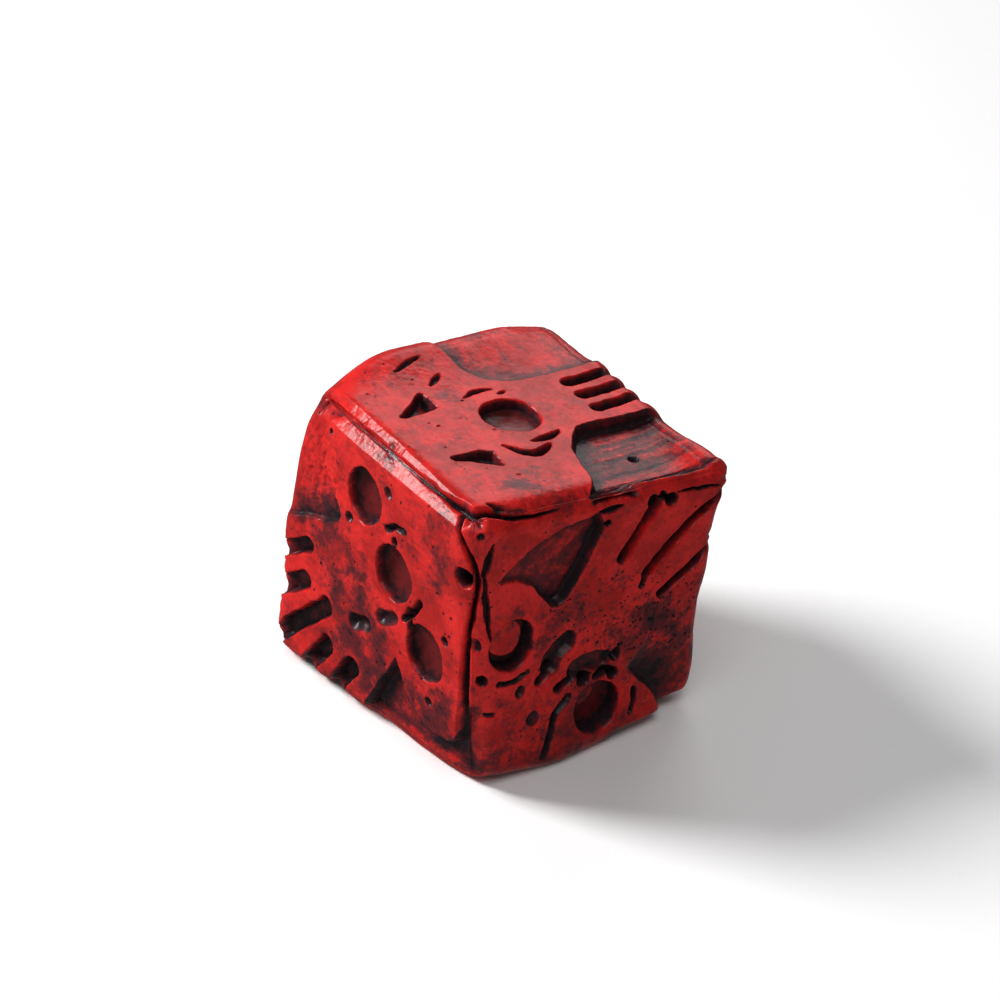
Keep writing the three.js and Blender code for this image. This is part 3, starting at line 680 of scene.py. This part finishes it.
def make_inlay(relief, order, socket):
    """The dried wash in a socket: a dished and lumpy disc that climbs a little at its rim."""
    x, y, radius, depth = socket
    rings, spokes = INLAY_RINGS, INLAY_SPOKES
    share = (np.arange(1, rings + 1) / rings)[:, None]
    angle = (np.arange(spokes) * 2 * math.pi / spokes)[None, :]
    u = x + (radius + INLAY_OVERLAP) * share * np.cos(angle)
    v = y + (radius + INLAY_OVERLAP) * share * np.sin(angle)
    u = np.append(u.ravel(), x)
    v = np.append(v.ravel(), y)
    share = np.append(np.repeat(share, spokes), 0.0)
    flat = np.stack([u, v, np.full_like(u, HALF)], -1) @ relief.axes
    uneven = 0.04 * layered_noise(flat, 1.6, 81) + 0.012 * layered_noise(flat, 0.4, 82, layers=2)
    skin = np.stack([u, v, HALF - depth + INLAY_CLIMB * share**4 + uneven], -1)
    rim, centre = (rings - 1) * spokes, rings * spokes
    base = skin[rim:centre].copy()
    base[:, 2] = HALF - SOCKET_DEPTH - INLAY_BASE
    points = cast_by_hand(np.vstack([skin, base]) @ relief.axes)
    turn = np.arange(spokes)
    following = (turn + 1) % spokes
    faces = [[centre, a, b] for a, b in zip(turn.tolist(), following.tolist())]
    for inner in range(0, rim, spokes):
        outer = inner + spokes
        faces += np.stack([inner + turn, outer + turn, outer + following, inner + following], -1).tolist()
    smooth = len(faces)
    foot = centre + 1
    faces += np.stack([rim + turn, foot + turn, foot + following, rim + following], -1).tolist()
    faces.append((foot + turn[::-1]).tolist())
    wash = np.append(0.35 + 0.6 * share**3 - 1.5 * uneven, np.ones(spokes))
    return make_object(f"dried_wash_{relief.number}_{order}", points, faces, smooth, {"wash": wash})


# ---- Materials ----

def socket_links(tree, node, inputs):
    """Fills a node's sockets: an output is linked and anything else is set as a value."""
    for key, value in inputs.items():
        if isinstance(value, bpy.types.NodeSocket):
            tree.links.new(value, node.inputs[key])
        else:
            node.inputs[key].default_value = value


def add(tree, kind, settings=None, **inputs):
    """Adds a shader node; inputs are given by name, with spaces as underscores."""
    node = tree.nodes.new(kind)
    for key, value in (settings or {}).items():
        setattr(node, key, value)
    socket_links(tree, node, {key.replace("_", " "): value for key, value in inputs.items()})
    return node


def arithmetic(tree, operation, first, second):
    """One Math node with two operands."""
    node = add(tree, "ShaderNodeMath", {"operation": operation})
    socket_links(tree, node, {0: first, 1: second})
    return node.outputs["Value"]


def ramp(tree, factor, low, high):
    """Maps a factor between two limits to 0 and 1, smoothly."""
    node = add(tree, "ShaderNodeMapRange", {"interpolation_type": "SMOOTHSTEP"},
               Value=factor, From_Min=low, From_Max=high)
    return node.outputs["Result"]


def mix_colour(tree, factor, first, second):
    """Mixes two colours by a factor."""
    node = add(tree, "ShaderNodeMix", {"data_type": "RGBA"})
    socket_links(tree, node, {0: factor, 6: first, 7: second})
    return node.outputs[2]


def lumps(tree, place, size, detail=3.0, roughness=0.55):
    """A noise texture whose lumps are about `size` millimetres across."""
    node = add(tree, "ShaderNodeTexNoise", Vector=place, Scale=1 / (size * MM), Detail=detail,
               Roughness=roughness)
    return node.outputs["Fac"]


def bright(red, green, blue):
    """A colour with full alpha, from linear values."""
    return (red, green, blue, 1.0)


def new_material(name):
    """A material with its node tree, its shader and the place on the object."""
    material = bpy.data.materials.new(name)
    material.use_nodes = True
    tree = material.node_tree
    shader = tree.nodes["Principled BSDF"]
    place = add(tree, "ShaderNodeTexCoord").outputs["Object"]
    return material, tree, shader, place


def pinholes(tree, place):
    """Tiny specks of wash, as a factor: most of the cells of a pattern hold none."""
    cells = add(tree, "ShaderNodeTexVoronoi", Vector=place, Scale=1 / (0.8 * MM))
    chosen = add(tree, "ShaderNodeSeparateColor", Color=cells.outputs["Color"]).outputs["Red"]
    size = arithmetic(tree, "MULTIPLY", ramp(tree, chosen, 0.6, 1.0), 0.16)
    return arithmetic(tree, "MULTIPLY", arithmetic(tree, "LESS_THAN", cells.outputs["Distance"], size), 0.9)


def painted_resin():
    """Glossy red resin under a brown-black wash that stays where the mesh says it is thick. The blackest tone
    of the wash is tinted faintly blue-grey, partly as a painted reflection.
    """
    material, tree, shader, place = new_material("painted_red_resin")
    wash = add(tree, "ShaderNodeAttribute", {"attribute_name": "wash"}).outputs["Fac"]
    cloud = lumps(tree, place, 3.5)
    grain = lumps(tree, place, 0.26, detail=2.0)
    smear = lumps(tree, place, 0.7, detail=6.0, roughness=0.75)
    stroke = add(tree, "ShaderNodeMapping", Vector=place, Rotation=(0.0, 0.3, 0.8), Scale=(0.3, 1.0, 1.0))
    strokes = lumps(tree, stroke.outputs["Vector"], 0.35, detail=3.0)
    streaks = arithmetic(tree, "MULTIPLY", arithmetic(tree, "SUBTRACT", strokes, 0.5), 0.4)
    red = mix_colour(tree, ramp(tree, arithmetic(tree, "ADD", cloud, streaks), 0.35, 0.65),
                     bright(0.33, 0.008, 0.007), bright(0.56, 0.014, 0.012))
    ragged = arithmetic(tree, "ADD", arithmetic(tree, "MULTIPLY", smear, 1.3),
                        arithmetic(tree, "MULTIPLY", grain, -0.5))
    uneven = arithmetic(tree, "SUBTRACT", ragged, 0.4)
    rough_wash = arithmetic(tree, "ADD", wash, uneven)
    rough_wash = arithmetic(tree, "MAXIMUM", rough_wash, pinholes(tree, place))
    glaze = mix_colour(tree, ramp(tree, rough_wash, 0.0, 0.6), red, bright(0.10, 0.010, 0.013))
    # The blackest wash colour: the dried wash's own near-black, tinted faintly blue-grey as a painted
    # reflection of the sky in the hollows.
    colour = mix_colour(tree, ramp(tree, rough_wash, 0.55, 1.05), glaze, bright(0.013, 0.009, 0.012))
    socket_links(tree, shader, {"Base Color": colour})
    gloss = arithmetic(tree, "MULTIPLY", smear, 0.2)
    socket_links(tree, shader, {"Roughness": arithmetic(tree, "ADD", gloss, 0.2)})
    shader.inputs["Specular IOR Level"].default_value = 0.16
    bump = add(tree, "ShaderNodeBump", Strength=1.0, Distance=0.021 * MM, Height=grain)
    socket_links(tree, shader, {"Normal": bump.outputs["Normal"]})
    return material


def dried_wash():
    """The pool in a socket: glossy brown-black, redder and browner where it is thin."""
    material, tree, shader, place = new_material("dried_dark_wash")
    wash = add(tree, "ShaderNodeAttribute", {"attribute_name": "wash"}).outputs["Fac"]
    smear = lumps(tree, place, 0.8, detail=4.0)
    thick = arithmetic(tree, "ADD", wash, arithmetic(tree, "SUBTRACT", smear, 0.5))
    colour = mix_colour(tree, ramp(tree, thick, 0.25, 1.0), bright(0.12, 0.010, 0.011),
                        bright(0.010, 0.007, 0.009))
    socket_links(tree, shader, {"Base Color": colour})
    grain = lumps(tree, place, 0.18, detail=2.0)
    gloss = arithmetic(tree, "MULTIPLY", smear, 0.2)
    socket_links(tree, shader, {"Roughness": arithmetic(tree, "ADD", gloss, 0.12)})
    shader.inputs["Specular IOR Level"].default_value = 0.15
    bump = add(tree, "ShaderNodeBump", Strength=0.6, Distance=0.03 * MM, Height=grain)
    socket_links(tree, shader, {"Normal": bump.outputs["Normal"]})
    return material


def painted_shade_core():
    """The core, near-black as painted shade: it shows only as darkness down a crevice."""
    material, tree, shader, place = new_material("painted_shade_core_material")
    colour = mix_colour(tree, lumps(tree, place, 2.0), bright(0.020, 0.004, 0.004),
                        bright(0.008, 0.003, 0.003))
    socket_links(tree, shader, {"Base Color": colour})
    shader.inputs["Roughness"].default_value = 0.5
    return material


def studio_floor():
    """A plain matt white floor with the faintest grain."""
    material, tree, shader, place = new_material("studio_floor")
    colour = mix_colour(tree, lumps(tree, place, 0.6), bright(0.86, 0.86, 0.86), bright(0.89, 0.89, 0.89))
    socket_links(tree, shader, {"Base Color": colour})
    shader.inputs["Roughness"].default_value = 0.8
    shader.inputs["Specular IOR Level"].default_value = 0.1
    return material


# ---- Studio ----

CAMERA_AZIMUTH = 49.94
CAMERA_ELEVATION = 31.5
CAMERA_ROLL = 5.78
CAMERA_DISTANCE = 253.2
CAMERA_LIFT = 3.83
CAMERA_LENS = 108.0
CAMERA_TARGET = (0.6, -0.6, HALF + 0.6)


def sky_direction(azimuth, elevation):
    """The direction to a point seen at an azimuth from -Y towards +X, and an elevation."""
    turn, rise = math.radians(azimuth), math.radians(elevation)
    return Vector((math.sin(turn) * math.cos(rise), -math.cos(turn) * math.cos(rise), math.sin(rise)))


def make_camera(target):
    """A long lens that looks down on the corner where the one, the two and the three meet."""
    data = bpy.data.cameras.new("camera")
    data.lens = CAMERA_LENS
    data.sensor_width = 36.0
    data.clip_start = 0.01
    camera = bpy.data.objects.new("camera", data)
    back = sky_direction(CAMERA_AZIMUTH, CAMERA_ELEVATION)
    aim = back.to_track_quat("Z", "Y") @ Quaternion((0, 0, 1), math.radians(CAMERA_ROLL))
    up = aim @ Vector((0, 1, 0))
    camera.location = target + (CAMERA_DISTANCE * back + CAMERA_LIFT * up) * MM
    camera.rotation_mode = "QUATERNION"
    camera.rotation_quaternion = aim
    bpy.context.collection.objects.link(camera)
    bpy.context.scene.camera = camera


def make_light(name, centre, azimuth, elevation, distance, size, power):
    """A round soft light that faces the die, its distance and size in millimetres."""
    data = bpy.data.lights.new(name, "AREA")
    data.shape = "DISK"
    data.size = size * MM
    data.energy = power
    light = bpy.data.objects.new(name, data)
    towards = sky_direction(azimuth, elevation)
    light.location = centre + distance * MM * towards
    light.rotation_mode = "QUATERNION"
    light.rotation_quaternion = towards.to_track_quat("Z", "Y")
    bpy.context.collection.objects.link(light)


def make_floor():
    """A wide floor, left out of reflections so that the die's sides stay dark and glossy."""
    reach = 3000.0
    corners = np.array([(-reach, -reach, 0), (reach, -reach, 0), (reach, reach, 0), (-reach, reach, 0)])
    floor = make_object("floor", corners, [[0, 1, 2, 3]], 0, {})
    floor.data.materials.append(studio_floor())
    floor.visible_glossy = False


def make_world():
    """An even, faint white sky."""
    world = bpy.data.worlds.new("studio")
    world.use_nodes = True
    background = world.node_tree.nodes["Background"]
    background.inputs["Color"].default_value = bright(1.0, 1.0, 1.0)
    background.inputs["Strength"].default_value = 0.14
    bpy.context.scene.world = world


def make_studio():
    """The camera, three soft lights, a faint sky and a white floor."""
    centre = Vector((0.0, 0.0, HALF * MM))
    make_camera(Vector(CAMERA_TARGET) * MM)
    make_light("key", centre, azimuth=-49, elevation=37, distance=500, size=170, power=3.4)
    make_light("overhead", centre, azimuth=50, elevation=64, distance=500, size=300, power=0.75)
    make_light("back_sheet", centre, azimuth=225, elevation=36, distance=600, size=360, power=0.85)
    make_world()
    make_floor()
    bpy.context.scene.view_settings.view_transform = "Standard"


# ---- Assembly ----

make_studio()

resin = painted_resin()
pool = dried_wash()
reliefs = {number: Relief(number) for number in CARVERS}
for number, relief in reliefs.items():
    CARVERS[number](relief)
join(reliefs)
for relief in reliefs.values():
    relief.crevices()
    relief.weather()
join(reliefs)
for number, relief in reliefs.items():
    slab = make_slab(relief)
    slab.data.materials.append(resin)
    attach(slab, "root")
    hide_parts(f"face_{number}_slab")
    for order, socket in enumerate(relief.sockets, start=1):
        inlay = make_inlay(relief, order, socket)
        inlay.data.materials.append(pool)
        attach(inlay, "root")
        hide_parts(f"face_{number}_pip_{order}")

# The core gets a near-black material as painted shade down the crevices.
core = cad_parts["core_block"]
core.data.materials.clear()
core.data.materials.append(painted_shade_core())
